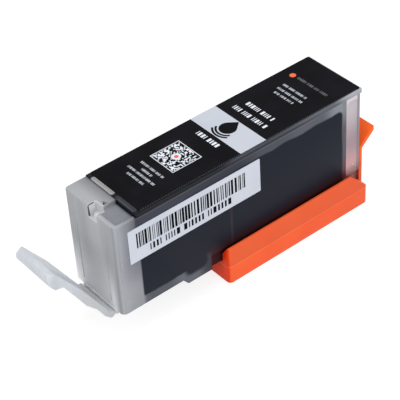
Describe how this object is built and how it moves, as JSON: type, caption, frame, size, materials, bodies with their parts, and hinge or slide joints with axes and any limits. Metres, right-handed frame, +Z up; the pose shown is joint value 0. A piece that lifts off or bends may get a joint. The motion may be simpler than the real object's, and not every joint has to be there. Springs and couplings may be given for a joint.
{
  "type": "inkjet ink cartridge",
  "caption": "Clear single-colour inkjet cartridge with lid, foam, free ink, outlet, contact board and sprung latch lever, standing in its open-topped clip-on shipping cap.",
  "frame": {"origin": "centre of the shipping cap's flat underside", "axes": "+X along the cartridge from the latch lever to the rear, +Y across it, +Z up"},
  "size_m": [0.1046, 0.024, 0.0383],
  "materials": {
    "frosted_plastic": "frosted clear polypropylene",
    "clear_plastic": "clear, lightly glossy",
    "ball_plastic": "polished",
    "label_film": "satin printed film",
    "sticker_paper": "uncoated white",
    "ink": "wet",
    "soaked_foam": "open foam, soaked with ink",
    "soaked_felt": "dense felt, soaked with ink",
    "board_laminate": "solder mask with bare pads",
    "milky_plastic": "milky polypropylene",
    "orange_plastic": "smooth, slightly translucent",
    "seal_rubber": "soft, matte"
  },
  "bodies": {
    "cap": {"shipping_cap": "orange_plastic", "outlet_seal_pad": "seal_rubber"},
    "tank": {"tank_body": "frosted_plastic", "tank_lid": "clear_plastic", "fill_ball": "ball_plastic", "top_label": "label_film", "side_sticker": "sticker_paper", "free_ink": "ink", "upper_foam": "soaked_foam", "lower_felt": "soaked_felt", "outlet_wick": "soaked_felt", "contact_board": "board_laminate"},
    "lever": {"latch_lever": "milky_plastic"}
  },
  "joints": [
    {"name": "tank_lift", "type": "slide", "parent": "cap", "child": "tank", "axis": [0, 0, 1], "range_m": [0, 0.02]},
    {"name": "lever_flex", "type": "hinge", "parent": "tank", "child": "lever", "pos_m": [-0.05895, 0, 0.00785], "axis": [0, 1, 0], "range_deg": [0, 22], "stiffness_Nm_per_rad": 0.05}
  ]
}
